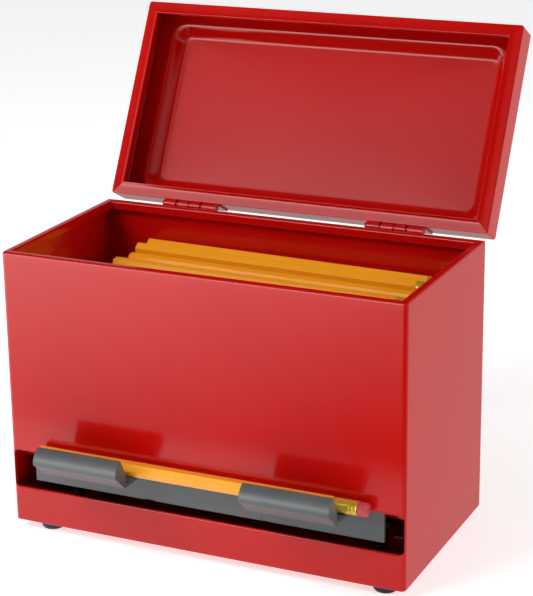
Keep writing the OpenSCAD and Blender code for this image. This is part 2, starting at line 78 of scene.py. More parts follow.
SLOT_HALF_W = 113.3 * MM
SLOT_R = 2.5 * MM

# ---------- camera ----------

# Angles in degrees, lens in mm
CAMERA_AZIMUTH = 24.964
CAMERA_ELEVATION = 18.096
CAMERA_ROLL = -0.775
CAMERA_PLACE = Vector((0.42292, -0.88124, 0.44335))  # from the middle of the case's underside
CAMERA_LENS = 116.70


def add_camera():
    azimuth = math.radians(CAMERA_AZIMUTH)
    elevation = math.radians(CAMERA_ELEVATION)
    back = Vector((
        math.sin(azimuth) * math.cos(elevation),
        -math.cos(azimuth) * math.cos(elevation),
        math.sin(elevation),
    ))
    data = bpy.data.cameras.new("camera")
    data.lens = CAMERA_LENS
    data.clip_start = 0.05
    data.clip_end = 20
    camera = bpy.data.objects.new("camera", data)
    bpy.context.scene.collection.objects.link(camera)
    turn = (-back).to_track_quat("-Z", "Y").to_matrix().to_4x4()
    roll = Matrix.Rotation(math.radians(CAMERA_ROLL), 4, "Z")
    camera.matrix_world = Matrix.Translation(CASE_MID + CAMERA_PLACE) @ turn @ roll
    bpy.context.scene.camera = camera


# ---------- stage: sizes in metres and levels of light ----------

STAGE_HALF = 6
DOME_R = 5.5
BACKDROP_R = 5.8
FLOOR_GLOW = 0.55
WORLD_LEVEL = 0.26
LAMP_AZIMUTH = -25  # degrees from the front, to the left
LAMP_GLOW = 5.0

# The reflector card: a far part that brightens to the left, and a dimmer part just in front of the case
CARD_HEIGHT = 0.0004
CARD_SLOPE_X = -4.36
CARD_SLOPE_Y = -2.6
CARD_START = -0.5
CARD_DARKEST = 0.01
CARD_BRIGHTEST = 4.2
CARD_NEAR_SLOPE = -3.2
CARD_NEAR_LEVEL = 0.95
CARD_NEAR_REACH = 0.14
CARD_BEHIND = 0.55

# Name, place, point aimed at, size and power of each lamp
LAMPS = (
    ("front_left", (-0.62, -1.05, 0.34), (0, 0, 0.12), (0.6, 0.3), 1.8),
    ("high_left", (-0.75, -1.0, 1.35), (0, 0, 0.15), (0.9, 0.7), 17.5),
    ("right", (1.3, 0.4, 0.55), (0.1, 0, 0.15), (0.9, 0.7), 9.5),
)

# ---------- material helpers ----------


def new_material(name):
    material = bpy.data.materials.new(name)
    material.use_nodes = True
    tree = material.node_tree
    shader = tree.nodes["Principled BSDF"]
    return material, tree, shader


def node(tree, kind, inputs=None, **settings):
    made = tree.nodes.new(kind)
    for key, value in settings.items():
        setattr(made, key, value)
    for key, value in (inputs or {}).items():
        if isinstance(value, bpy.types.NodeSocket):
            tree.links.new(value, made.inputs[key])
        else:
            made.inputs[key].default_value = value
    return made


def coordinates(tree, stretch=(1, 1, 1)):
    place = node(tree, "ShaderNodeTexCoord")
    return node(tree, "ShaderNodeMapping", {"Vector": place.outputs["Object"], "Scale": stretch}).outputs[0]


def noise(tree, where, scale, detail=3.0, roughness=0.5):
    made = node(tree, "ShaderNodeTexNoise", {
        "Vector": where, "Scale": scale, "Detail": detail, "Roughness": roughness})
    return made.outputs["Fac"]


def ramp(tree, factor, stops):
    made = node(tree, "ShaderNodeValToRGB", {"Fac": factor})
    elements = made.color_ramp.elements
    while len(elements) < len(stops):
        elements.new(0.5)
    for element, (place, colour) in zip(elements, stops):
        element.position = place
        element.color = (*colour, 1)
    return made.outputs["Color"]


def grey_ramp(tree, factor, stops):
    return ramp(tree, factor, [(place, (level,) * 3) for place, level in stops])


def remap(tree, factor, low, high):
    return node(tree, "ShaderNodeMapRange", {"Value": factor, "To Min": low, "To Max": high}).outputs[0]


def bump(tree, height, strength, distance, before=None):
    made = node(tree, "ShaderNodeBump", {"Height": height, "Strength": strength, "Distance": distance})
    if before is not None:
        tree.links.new(before, made.inputs["Normal"])
    return made.outputs[0]


def mix(tree, factor, first, second):
    made = node(tree, "ShaderNodeMix", data_type="RGBA")
    for key, value in ((0, factor), (6, first), (7, second)):
        if isinstance(value, bpy.types.NodeSocket):
            tree.links.new(value, made.inputs[key])
        else:
            made.inputs[key].default_value = value if key == 0 else (*value, 1)
    return made.outputs[2]


# ---------- materials ----------


def red_enamel():
    """Glossy enamel on sheet steel, with the faint orange peel and dust of sprayed paint."""
    material, tree, shader = new_material("red_enamel")
    where = coordinates(tree)
    cloud = noise(tree, where, 14, 2)
    fleck = noise(tree, where, 2600, 2)
    colour = ramp(tree, cloud, [(0.3, (0.48, 0.0022, 0.0012)), (0.7, (0.52, 0.0034, 0.0020))])
    dust = ramp(tree, fleck, [(0.74, (0, 0, 0)), (0.84, (1, 1, 1))])
    dusty = mix(tree, remap(tree, dust, 0, 0.02), colour, (0.62, 0.16, 0.13))
    tree.links.new(dusty, shader.inputs["Base Color"])
    tree.links.new(remap(tree, noise(tree, where, 60, 3), 0.10, 0.17), shader.inputs["Roughness"])
    peel = noise(tree, where, 620, 1.5)
    wave = noise(tree, where, 45, 1)
    coarse = bump(tree, wave, 0.03, 2 * MM)
    tree.links.new(bump(tree, peel, 0.03, 0.2 * MM, coarse), shader.inputs["Normal"])
    return material


def grey_plastic():
    """Moulded plastic with a fine spark-eroded grain and slight flow marks."""
    material, tree, shader = new_material("grey_plastic")
    where = coordinates(tree)
    flow = noise(tree, coordinates(tree, (0.35, 1, 1)), 60, 4, 0.6)
    colour = ramp(tree, flow, [(0.3, (0.084, 0.092, 0.096)), (0.7, (0.108, 0.118, 0.122))])
    tree.links.new(colour, shader.inputs["Base Color"])
    tree.links.new(remap(tree, noise(tree, where, 150, 3), 0.30, 0.42), shader.inputs["Roughness"])
    grain = noise(tree, where, 3800, 3)
    tree.links.new(bump(tree, grain, 0.14, 0.06 * MM), shader.inputs["Normal"])
    return material


def black_rubber():
    material, tree, shader = new_material("black_rubber")
    where = coordinates(tree)
    colour = grey_ramp(tree, noise(tree, where, 300, 4), [(0.3, 0.004), (0.7, 0.009)])
    tree.links.new(colour, shader.inputs["Base Color"])
    tree.links.new(remap(tree, noise(tree, where, 500, 3), 0.45, 0.65), shader.inputs["Roughness"])
    tree.links.new(bump(tree, noise(tree, where, 2500, 3), 0.25, 0.08 * MM), shader.inputs["Normal"])
    return material


def zinc_steel():
    material, tree, shader = new_material("zinc_steel")
    where = coordinates(tree, (1, 4, 4))
    colour = ramp(tree, noise(tree, where, 220, 4), [(0.3, (0.48, 0.48, 0.47)), (0.7, (0.62, 0.63, 0.64))])
    tree.links.new(colour, shader.inputs["Base Color"])
    tree.links.new(remap(tree, noise(tree, where, 900, 3), 0.26, 0.42), shader.inputs["Roughness"])
    tree.links.new(bump(tree, noise(tree, where, 1800, 2), 0.1, 0.05 * MM), shader.inputs["Normal"])
    shader.inputs["Metallic"].default_value = 1
    return material


# Blackened steel for the springs and guides. It is partly their own oxide finish and partly painted shade: it is
# made this dark so that these parts seen behind the apron read as the unlit inside of the case.
def black_steel():
    material, tree, shader = new_material("black_steel")
    where = coordinates(tree)
    colour = ramp(tree, noise(tree, where, 260, 4), [
        (0.3, (0.018, 0.018, 0.02)), (0.7, (0.045, 0.043, 0.042))])
    tree.links.new(colour, shader.inputs["Base Color"])
    tree.links.new(remap(tree, noise(tree, where, 900, 3), 0.35, 0.5), shader.inputs["Roughness"])
    tree.links.new(bump(tree, noise(tree, where, 1800, 2), 0.1, 0.05 * MM), shader.inputs["Normal"])
    shader.inputs["Metallic"].default_value = 0.6
    return material


def pencil_lacquer():
    """Several dipped coats of yellow-orange lacquer, with soft ripples along the pencil."""
    material, tree, shader = new_material("pencil_lacquer")
    along = coordinates(tree, (0.08, 1, 1))
    streak = noise(tree, along, 900, 4, 0.6)
    patch = noise(tree, coordinates(tree), 70, 3)
    base = ramp(tree, streak, [(0.3, (0.92, 0.330, 0.006)), (0.7, (0.97, 0.400, 0.012))])
    colour = mix(tree, remap(tree, patch, 0.0, 0.2), base, (0.97, 0.45, 0.020))
    tree.links.new(colour, shader.inputs["Base Color"])
    tree.links.new(remap(tree, noise(tree, along, 400, 3), 0.2, 0.34), shader.inputs["Roughness"])
    tree.links.new(bump(tree, streak, 0.10, 0.1 * MM), shader.inputs["Normal"])
    return material


def bare_wood():
    """The sawn end of a pencil: pale cedar with fine pores."""
    material, tree, shader = new_material("bare_wood")
    where = coordinates(tree, (1, 1, 0.3))
    rings = noise(tree, where, 1800, 4, 0.65)
    colour = ramp(tree, rings, [
        (0.3, (0.42, 0.20, 0.07)), (0.55, (0.60, 0.34, 0.15)), (0.8, (0.70, 0.45, 0.24))])
    tree.links.new(colour, shader.inputs["Base Color"])
    tree.links.new(bump(tree, rings, 0.4, 0.1 * MM), shader.inputs["Normal"])
    shader.inputs["Roughness"].default_value = 0.8
    return material


def graphite():
    material, tree, shader = new_material("graphite")
    where = coordinates(tree)
    colour = ramp(tree, noise(tree, where, 2200, 3), [(0.3, (0.03, 0.03, 0.033)), (0.7, (0.08, 0.08, 0.085))])
    tree.links.new(colour, shader.inputs["Base Color"])
    tree.links.new(bump(tree, noise(tree, where, 3500, 2), 0.3, 0.05 * MM), shader.inputs["Normal"])
    shader.inputs["Roughness"].default_value = 0.45
    return material


def ferrule_brass():
    """Bright brass, drawn less than fully metallic so that it stays gold where it reflects little."""
    material, tree, shader = new_material("ferrule_brass")
    where = coordinates(tree)
    colour = ramp(tree, noise(tree, where, 350, 4), [
        (0.25, (0.66, 0.40, 0.03)), (0.5, (0.86, 0.60, 0.06)), (0.75, (0.96, 0.74, 0.14))])
    tree.links.new(colour, shader.inputs["Base Color"])
    tree.links.new(remap(tree, noise(tree, where, 800, 3), 0.14, 0.34), shader.inputs["Roughness"])
    tree.links.new(bump(tree, noise(tree, where, 1400, 3), 0.25, 0.08 * MM), shader.inputs["Normal"])
    shader.inputs["Metallic"].default_value = 0.6
    return material


def eraser_rubber():
    material, tree, shader = new_material("eraser_rubber")
    where = coordinates(tree)
    colour = ramp(tree, noise(tree, where, 500, 4), [
        (0.3, (0.46, 0.045, 0.055)), (0.7, (0.60, 0.085, 0.095))])
    tree.links.new(colour, shader.inputs["Base Color"])
    tree.links.new(bump(tree, noise(tree, where, 3000, 4), 0.35, 0.1 * MM), shader.inputs["Normal"])
    shader.inputs["Roughness"].default_value = 0.7
    return material


MATERIALS = {
    "red_enamel": red_enamel(),
    "zinc_steel": zinc_steel(),
    "black_steel": black_steel(),
    "grey_plastic": grey_plastic(),
    "black_rubber": black_rubber(),
    "pencil_lacquer": pencil_lacquer(),
    "graphite": graphite(),
    "ferrule_brass": ferrule_brass(),
    "eraser_rubber": eraser_rubber(),
}
BARE_WOOD = bare_wood()
SLOT_OF = {part["node"]: part["material_slot"] for part in frame["record"]["subparts"]}
BODY_OF = {name: body for body, names in frame["record"]["behaviour"]["bodies"].items() for name in names}

# ---------- mesh helpers ----------


def link_mesh(name, mesh, *materials):
    made = bpy.data.objects.new(name, mesh)
    bpy.context.scene.collection.objects.link(made)
    for material in materials:
        mesh.materials.append(material)
    for face in mesh.polygons:
        face.use_smooth = True
    return made


def stand_for(made, *nodes):
    """The piece rides on its nodes' body and hides them."""
    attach(made, BODY_OF[nodes[0]])
    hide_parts(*nodes)


def even_normals(made, weight, keep_sharp=False):
    normals = made.modifiers.new("even_normals", "WEIGHTED_NORMAL")
    normals.keep_sharp = keep_sharp
    normals.weight = weight


def soften(made, width, segments=2, angle=30):
    bevel = made.modifiers.new("soft_edges", "BEVEL")
    bevel.width = width
    bevel.segments = segments
    bevel.limit_method = "ANGLE"
    bevel.angle_limit = math.radians(angle)
    bevel.harden_normals = False
    bevel.miter_outer = "MITER_ARC"
    even_normals(made, 80, keep_sharp=True)


def dress(name, width, segments=2):
    """A CAD node keeps its shape; its flat faces are joined and its edges lightly rounded."""
    made = frame["nodes"][name]
    made.data.materials.clear()
    made.data.materials.append(MATERIALS[SLOT_OF[name]])
    for face in made.data.polygons:
        face.use_smooth = True
    weld = made.modifiers.new("weld", "WELD")
    weld.merge_threshold = 0.01 * MM
    flats = made.modifiers.new("join_flats", "DECIMATE")
    flats.decimate_type = "DISSOLVE"
    flats.angle_limit = math.radians(0.5)
    soften(made, width, segments)


def arc(centre_a, centre_b, radius, start, end, steps=ARC // 2):
    """Points (a, b) along an arc between two angles in degrees."""
    return [
        (centre_a + radius * math.cos(math.radians(start + (end - start) * i / steps)),
         centre_b + radius * math.sin(math.radians(start + (end - start) * i / steps)))
        for i in range(steps + 1)
    ]


def rounded_loop(half_x, half_y, radius):
    """A closed rounded rectangle, anticlockwise, always with the same number of points."""
    radius = max(radius, 0.05 * MM)
    points = []
    for corner, (sx, sy) in enumerate(((1, 1), (-1, 1), (-1, -1), (1, -1))):
        points += arc(sx * (half_x - radius), sy * (half_y - radius), radius,
                          90 * corner, 90 * corner + 90, ARC)
    return points


def add_rings(mesh, rings, closed_ring=True, closed_loft=False, material=0, caps=(None, None)):
    """Joins rings of equal point counts with four-sided faces; a cap is given by its material's number."""
    grid = [[mesh.verts.new(point) for point in ring] for ring in rings]
    count = len(rings[0])
    pairs = list(zip(grid, grid[1:])) + ([(grid[-1], grid[0])] if closed_loft else [])
    for low, high in pairs:
        for i in range(count if closed_ring else count - 1):
            j = (i + 1) % count
            mesh.faces.new((low[i], low[j], high[j], high[i])).material_index = material
    for cap, ring in zip(caps, (list(reversed(grid[0])), grid[-1])):
        if cap is not None:
            mesh.faces.new(ring).material_index = cap


def loft(rings, **settings):
    mesh = bmesh.new()
    add_rings(mesh, rings, **settings)
    return mesh


def close_ends(mesh):
    bmesh.ops.holes_fill(mesh, edges=[edge for edge in mesh.edges if edge.is_boundary], sides=0)


def to_mesh(name, source):
    bmesh.ops.recalc_face_normals(source, faces=source.faces)
    mesh = bpy.data.meshes.new(name)
    source.to_mesh(mesh)
    source.free()
    return mesh


def step_rings(start, end, steps=5):
    """Eased rings between (margin_x, margin_y, radius, height) at two ends of a pressed step."""
    rings = []
    for i in range(steps + 1):
        t = i / steps
        ease = t * t * (3 - 2 * t)
        rings.append(tuple(a + (b - a) * t for a, b in zip(start[:3], end[:3])) + (
            start[3] + (end[3] - start[3]) * ease,))
    return rings


# ---------- lid ----------


def panel_rings(edge, depth, way):
    """The pressed panel inside its sloping sides; its middle sags a little towards the underside."""
    rings = []
    last_ring = 0.97  # how near the middle the rings go
    corner_r = 5
    for i in range(PANEL_STEPS + 1):
        t = 1 - (i / PANEL_STEPS) * last_ring
        inset_x = HALF_W / MM * (1 - t) + edge[0] * t
        inset_y = HALF_D / MM * (1 - t) + edge[1] * t
        roundness = min(1, 2.2 * (1 - t))
        radius = corner_r * t * (1 - roundness) + 0.98 * (HALF_D / MM - inset_y) * roundness
        rings.append((inset_x, inset_y, radius, depth - PANEL_SAG * (1 - t * t)))
    return rings if way > 0 else rings[::-1]


# The bevelled frame round the lid's underside, and its folded lip: (margin, corner radius, height), in mm
FRAME_RINGS = [
    (2.5, 0.3, -0.15), (4.5, 0.25, -0.32), (4.9, 0.25, -0.40), (5.4, 0.25, -0.55), (6.3, 0.25, -0.98),
    (6.65, 0.25, -1.22), (6.9, 0.25, -1.24), (7.0, 0.25, -1.0), (7.0, 0.25, 1.7), (6.75, 0.25, 2.0),
    (6.25, 0.25, 2.0), (6.0, 0.25, 1.7), (6.0, 0.25, 0.6), (5.2, 0.25, 1.0), (1.3, 0.3, 1.0),
]


def lid_profile():
    """Rings of the lid: from the middle of its top, over the edge, round the frame and back inside.

    Each ring is (margin_x, margin_y, corner radius, height), in mm.
    """
    top = LID_H / MM
    sheet = SHEET / MM
    inside = top - sheet
    edge_r = 1.2
    lip_r = 0.5
    rings = panel_rings((18.2, 15.2), top + PANEL_DEPTH, -1)
    rings += step_rings((17.6, 14.6, 5, top + PANEL_DEPTH), (10.8, 7.4, 9.4, top), PRESS_STEPS)
    rings += [(edge_r - a, edge_r - a, 1.5, b) for a, b in arc(0, top - edge_r, edge_r, 90, 0)]
    rings += [(lip_r - a, lip_r - a, 1.5, b) for a, b in arc(0, lip_r, lip_r, 0, -90)]
    rings += [(margin, margin, radius, height) for margin, radius, height in FRAME_RINGS]
    rings += [(sheet, sheet, 0.6, 1.3), (sheet, sheet, 0.8, inside - edge_r)]
    rings += [(sheet + edge_r - a, sheet + edge_r - a, 1.6, b)
              for a, b in arc(0, inside - edge_r, edge_r, 0, 90)]
    rings += step_rings((11.4, 8.0, 8.8, inside), (18.1, 15.1, 4.5, inside + PANEL_DEPTH), PRESS_STEPS)
    rings += panel_rings((18.7, 15.7), inside + PANEL_DEPTH, 1)
    return rings


def lid_open_matrix():
    return Matrix.Translation(HINGE) @ Matrix.Rotation(-LID_OPEN, 4, "X") @ Matrix.Translation(-HINGE)


def make_lid():
    rings = []
    for margin_x, margin_y, radius, height in lid_profile():
        loop = rounded_loop(HALF_W - margin_x * MM, HALF_D - margin_y * MM, radius * MM)
        rings.append([(CASE_MID.x + x, CASE_MID.y + y, HINGE.z + height * MM) for x, y in loop])
    mesh = loft(rings, caps=(0, 0))
    bmesh.ops.transform(mesh, matrix=lid_open_matrix(), verts=mesh.verts)
    lid = link_mesh("lid", to_mesh("lid", mesh), MATERIALS["red_enamel"])
    even_normals(lid, 60)
    stand_for(lid, "lid_shell")


# ---------- case ----------


def sheet_profile():
    """Outline of the folded sheet: (distance in from the outer face, height), in mm."""
    top = CASE_H / MM
    sheet = SHEET / MM
    rim = RIM_W / MM
    drop = top - RIM_DROP / MM
    outline = [(0, 0.25), (0, 30), (0, 90), (0, drop)]
    outline += [(1.2 - a, b) for a, b in arc(0, top - 1.2, 1.2, 0, 90)]
    outline += [(rim - 1.0 + b, a) for a, b in arc(top - 1.0, 0, 1.0, 0, 90)]
    outline += [(rim, drop + 0.3), (rim - 0.3, drop), (rim - sheet + 0.2, drop), (rim - sheet, drop + 0.3)]
    outline += [(rim - sheet, top - sheet - 0.4), (rim - sheet - 0.4, top - sheet)]
    outline += [(sheet + 0.4, top - sheet)]
    outline += [(sheet, top - sheet - 0.4), (sheet, drop), (sheet, 90), (sheet, 30), (sheet, 0.25)]
    outline += [(sheet - 0.25, 0), (0.25, 0)]
    return outline


def wrap_path(margin, end_y):
    """The sheet's way round the case at one margin: back left, front left, front right, back right."""
    half_x = HALF_W - margin
    radius = max(BEND_R - margin, 0.2 * MM)
    front = -HALF_D + margin
    points = [(-half_x, end_y), (-half_x, 0)]
    points += arc(-half_x + radius, front + radius, radius, 180, 270, ARC)
    points += arc(half_x - radius, front + radius, radius, 270, 360, ARC)
    points += [(half_x, 0), (half_x, end_y)]
    return points


def make_wrap():
    drop = CASE_H - RIM_DROP
    rings = []
    for margin, height in sheet_profile():
        mitred = height * MM >= drop - 0.01 * MM
        end_y = HALF_D - (margin * MM if mitred else 0)
        rings.append([(CASE_MID.x + x, CASE_MID.y + y, CASE_MID.z + height * MM)
                      for x, y in wrap_path(margin * MM, end_y)])
    mesh = loft(rings, closed_ring=False, closed_loft=True)
    close_ends(mesh)
    wrap = link_mesh("case_wrap_sheet", to_mesh("case_wrap_sheet", mesh), MATERIALS["red_enamel"])
    cut_slot(wrap)
    for face in wrap.data.polygons:
        face.use_smooth = True
    soften(wrap, 0.25 * MM, 2, 40)
    stand_for(wrap, "case_wrap")


def cut_slot(wrap):
    """The slot, cut deeper by one sheet along its two long edges, where the folds take its place."""
    cut_with(wrap, SLOT_HALF_W, 0, SLOT_R)
    cut_with(wrap, SLOT_HALF_W - SLOT_R, SHEET, 0.02 * MM)


def cut_with(wrap, half_x, grow, radius):
    loop = rounded_loop(half_x, (SLOT_TOP - SLOT_BOTTOM) / 2 + grow, radius)
    middle = CASE_MID.z + (SLOT_TOP + SLOT_BOTTOM) / 2
    rings = [[(CASE_MID.x + x, CASE_MID.y - HALF_D + y, middle + z) for x, z in loop]
             for y in (-2 * MM, 2 * SHEET)]
    cutter = link_mesh("slot_cutter", to_mesh("slot_cutter", loft(rings, caps=(0, 0))))
    cut = wrap.modifiers.new("slot", "BOOLEAN")
    cut.operation = "DIFFERENCE"
    cut.solver = "EXACT"
    cut.object = cutter
    bake_modifiers(wrap)
    bpy.data.objects.remove(cutter)


def bake_modifiers(made):
    evaluated = made.evaluated_get(bpy.context.evaluated_depsgraph_get())
    mesh = bpy.data.meshes.new_from_object(evaluated)
    made.modifiers.clear()
    made.data = mesh


def make_slot_folds():
    """The sheet is folded back on itself in a half round along both long edges of the slot."""
    mesh = bmesh.new()
    front = CASE_MID.y - HALF_D
    half_x = SLOT_HALF_W - SLOT_R
    for edge, way in ((SLOT_BOTTOM, -1), (SLOT_TOP, 1)):
        middle_z = CASE_MID.z + edge + way * SHEET
        outline = [(front + SHEET - a, middle_z - way * b) for a, b in arc(0, 0, SHEET, 0, 180, 12)]
        outline += [(front + 2 * SHEET, middle_z + way * FOLD_H), (front + SHEET, middle_z + way * FOLD_H)]
        outline += [(front + SHEET, middle_z + way * 0.1 * MM), (front, middle_z + way * 0.1 * MM)]
        rings = [[(CASE_MID.x + x, y, z) for y, z in outline] for x in (-half_x, 0, half_x)]
        add_rings(mesh, rings, caps=(0, 0))
    folds = link_mesh("slot_folds", to_mesh("slot_folds", mesh), MATERIALS["red_enamel"])
    even_normals(folds, 60)
    stand_for(folds, "case_wrap")


def make_back():
    """The back sheet carries the rear stretch of the rim, mitred at both ends."""
    drop = CASE_H - RIM_DROP
    rings = []
    for margin, height in sheet_profile():
        mitred = height * MM >= drop - 0.01 * MM
        half_x = HALF_W - (margin * MM + MITRE_GAP if mitred else SHEET)
        y = CASE_MID.y + HALF_D - margin * MM
        z = CASE_MID.z + height * MM
        rings.append([(CASE_MID.x + x, y, z) for x in (-half_x, -half_x / 3, half_x / 3, half_x)])
    mesh = loft(rings, closed_ring=False, closed_loft=True)
    close_ends(mesh)
    back = link_mesh("back_sheet", to_mesh("back_sheet", mesh), MATERIALS["red_enamel"])
    soften(back, 0.15 * MM, 2, 40)
    stand_for(back, "back_panel")


# ---------- pencils ----------


def islands(name):
    """The separate solids of a CAD node, each as a list of its corners."""
    mesh = frame["nodes"][name].data
    key_of = [tuple(round(value * 1e5) for value in vertex.co) for vertex in mesh.vertices]
    parent = {key: key for key in key_of}

    def root(key):
        while parent[key] != key:
            parent[key] = parent[parent[key]]
            key = parent[key]
        return key

    for edge in mesh.edges:
        first, second = (root(key_of[i]) for i in edge.vertices)
        if first != second:
            parent[first] = second
    groups = {}
    for index, key in enumerate(key_of):
        groups.setdefault(root(key), []).append(mesh.vertices[index].co.copy())
    return sorted(groups.values(), key=lambda points: (
        round(sum(p.z for p in points) / len(points), 5), round(sum(p.y for p in points) / len(points), 5)))


def middle_of(points):
    return sum(points, Vector()) / len(points)


def pencil_places(wood_node):
    """Frame, length, size and roll of every pencil body in a node, from its two end faces."""
    places = []
    for points in islands(wood_node):
        low = min(p.x for p in points)
        high = max(p.x for p in points)
        start = middle_of([p for p in points if p.x < low + 0.4 * MM])
        tip = middle_of([p for p in points if p.x > high - 0.4 * MM])
        turn = (tip - start).to_track_quat("X", "Z").to_matrix().to_4x4()
        matrix = Matrix.Translation(start) @ turn
        back = matrix.inverted()
        local = [back @ p for p in points]
        corner = max((p for p in local if abs(p.x) < 0.05 * MM), key=lambda p: math.hypot(p.y, p.z))
        radius = math.hypot(corner.y, corner.z)
        wide = [p.x for p in local if math.hypot(p.y, p.z) > radius * 0.98]
        places.append({"matrix": matrix, "end": max(wide), "radius": radius,
                       "roll": math.atan2(corner.z, corner.y)})
    return places


FERRULE_R = 3.85 * MM
FERRULE_L = 14 * MM
ERASER_L = 5.4 * MM
LEAD_R = 1.1 * MM
LEAD_SEEN = 6 * MM  # the lead is drawn only this far into the wood
HEX_ROUND = 0.5 * MM


def hex_ring(x, place, size, round_off, steps=4):
    """A hexagon with rounded corners about the pencil's axis."""
    points = []
    radius = place["radius"] * size
    for corner in range(6):
        middle = place["roll"] + math.radians(60 * corner)
        reach = radius - round_off / math.cos(math.radians(30))
        for i in range(steps + 1):
            angle = middle + math.radians(-30 + 60 * i / steps)
            points.append((x, reach * math.cos(middle) + round_off * math.cos(angle),
                           reach * math.sin(middle) + round_off * math.sin(angle)))
    return points


def round_ring(x, place, radius, count=32):
    turns = [place["roll"] + 2 * math.pi * i / count for i in range(count)]
    return [(x, radius * math.cos(turn), radius * math.sin(turn)) for turn in turns]


def add_at(mesh, place, rings, **settings):
    """Rings drawn along the pencil's own axis, put where that pencil lies."""
    add_rings(mesh, [[place["matrix"] @ Vector(point) for point in ring] for ring in rings], **settings)


def add_wood(mesh, place):
    """A hexagonal body, with bare wood (material 1) round the lead at its cut end."""
    end = place["end"]
    cut_end = [hex_ring(0, place, 0.30, 0.55 * MM), hex_ring(0, place, 0.95, HEX_ROUND)]
    add_at(mesh, place, cut_end, material=1)
    stations = [(0, 0.95), (0.06 * MM, 0.985), (0.2 * MM, 1.0), (60 * MM, 1.0), (120 * MM, 1.0)]
    stations += [(end - 0.2 * MM, 1.0), (end, 0.97), (end, 0.8)]
    body = [hex_ring(along, place, size, HEX_ROUND) for along, size in stations]
    add_at(mesh, place, body, caps=(None, 0))


def add_lead(mesh, place):
    rings = [round_ring(0.05 * MM, place, LEAD_R, 20), round_ring(LEAD_SEEN, place, LEAD_R, 20)]
    add_at(mesh, place, rings, caps=(0, 0))


# Rings of the ferrule: (distance along it, radius), in mm; two rolled beads and a punched middle
FERRULE_RINGS = [(0, 3.72), (0.15, 3.85), (1.2, 3.85), (1.5, 3.66), (2.0, 3.62), (2.4, 3.84), (3.0, 3.85),
                 (3.3, 3.64), (3.8, 3.62), (4.2, 3.85), (5.2, 3.85), (7.0, 3.84), (8.8, 3.85), (9.6, 3.85),
                 (10.0, 3.62), (10.5, 3.60), (10.9, 3.85), (11.5, 3.85), (11.8, 3.64), (12.3, 3.60),
                 (12.7, 3.84), (13.85, 3.85), (14, 3.72)]


def add_ferrule(mesh, place):
    """A pressed ferrule: beads at both ends, and dimples punched round the middle to grip the wood."""
    rings = []
    steps = 48
    dimple_depth = 0.5
    for along, radius in FERRULE_RINGS:
        ring = []
        for i in range(steps):
            turn = 2 * math.pi * i / steps
            angle = place["roll"] + turn
            dimple = 0
            if 5.5 < along < 9:
                dimple = dimple_depth * max(0, math.cos(6 * turn)) ** 3
            size = (radius - dimple) * MM
            ring.append((place["end"] + along * MM, size * math.cos(angle), size * math.sin(angle)))
        rings.append(ring)
    add_at(mesh, place, rings, caps=(0, 0))


def add_eraser(mesh, place):
    """A round eraser, swelling a little out of the ferrule, with a rounded end."""
    start = place["end"] + FERRULE_L - 0.5 * MM
    end = place["end"] + FERRULE_L + ERASER_L
    radius = FERRULE_R - 0.32 * MM
    nose_r = 1.1 * MM
    rings = [round_ring(start, place, radius), round_ring(start + 1.2 * MM, place, radius + 0.12 * MM),
             round_ring(end - 2.2 * MM, place, radius + 0.1 * MM)]
    rings += [round_ring(end - nose_r + a, place, radius - nose_r + b)
              for a, b in arc(0, 0, nose_r, 90, 0, 5)]
    rings += [round_ring(end, place, radius * 0.35)]
    add_at(mesh, place, rings, caps=(0, 0))


def make_pencils(prefix, plural):
    """One finished piece for each of the four nodes that a pencil, or a stock of them, is made of."""
    places = pencil_places(prefix + "_wood")
    kinds = (
        ("wood", add_wood, (MATERIALS["pencil_lacquer"], BARE_WOOD)),
        ("lead" + plural, add_lead, (MATERIALS["graphite"],)),
        ("ferrule" + plural, add_ferrule, (MATERIALS["ferrule_brass"],)),
        ("eraser" + plural, add_eraser, (MATERIALS["eraser_rubber"],)),
    )
    for part, add, materials in kinds:
        mesh = bmesh.new()
        for place in places:
            add(mesh, place)
        name = f"{prefix}_{part}_finished"
        made = link_mesh(name, to_mesh(name, mesh), *materials)
        even_normals(made, 50)
        stand_for(made, f"{prefix}_{part}")


# ---------- stage ----------


def flat_sheet(name, height):
    """A square sheet as wide as the stage."""
    mesh = bpy.data.meshes.new(name)
    corners = [(x * STAGE_HALF, y * STAGE_HALF, height) for x, y in ((-1, -1), (1, -1), (1, 1), (-1, 1))]
    mesh.from_pydata(corners, [], [(0, 1, 2, 3)])
    made = bpy.data.objects.new(name, mesh)
    bpy.context.scene.collection.objects.link(made)
    return made


def make_floor():
    floor = flat_sheet("floor", 0)
    material, tree, shader = new_material("floor")
    where = coordinates(tree)
    colour = grey_ramp(tree, noise(tree, where, 3, 3), [(0.3, 0.80), (0.7, 0.83)])
    tree.links.new(colour, shader.inputs["Base Color"])
    shader.inputs["Roughness"].default_value = 0.9
    shader.inputs["Emission Color"].default_value = (1, 1, 1, 1)
    shader.inputs["Emission Strength"].default_value = FLOOR_GLOW
    floor.data.materials.append(material)
    floor.visible_glossy = False


def arithmetic(tree, operation, first, second=None, third=None):
    made = node(tree, "ShaderNodeMath", operation=operation)
    for slot, value in enumerate((first, second, third)):
        if isinstance(value, bpy.types.NodeSocket):
            tree.links.new(value, made.inputs[slot])
        elif value is not None:
            made.inputs[slot].default_value = value
    return made.outputs[0]


def rising(tree, value, start, end):
    """Goes from 0 to 1 while the value goes from start to end."""
    made = node(tree, "ShaderNodeMapRange", {"Value": value, "From Min": start, "From Max": end})
    return made.outputs[0]


def for_paint_only(made):
    """A stage piece that only shows up as a reflection."""
    made.visible_camera = False
    made.visible_diffuse = False
    made.visible_shadow = False
    made.visible_transmission = False


def glow_material(name):
    material = bpy.data.materials.new(name)
    material.use_nodes = True
    tree = material.node_tree
    tree.nodes.clear()
    return material, tree, node(tree, "ShaderNodeTexCoord").outputs["Object"]


def glow_dome(name, radius):
    """A sphere round the whole stage, still without a material."""
    mesh = bmesh.new()
    bmesh.ops.create_uvsphere(mesh, u_segments=48, v_segments=24, radius=radius)
    return link_mesh(name, to_mesh(name, mesh))


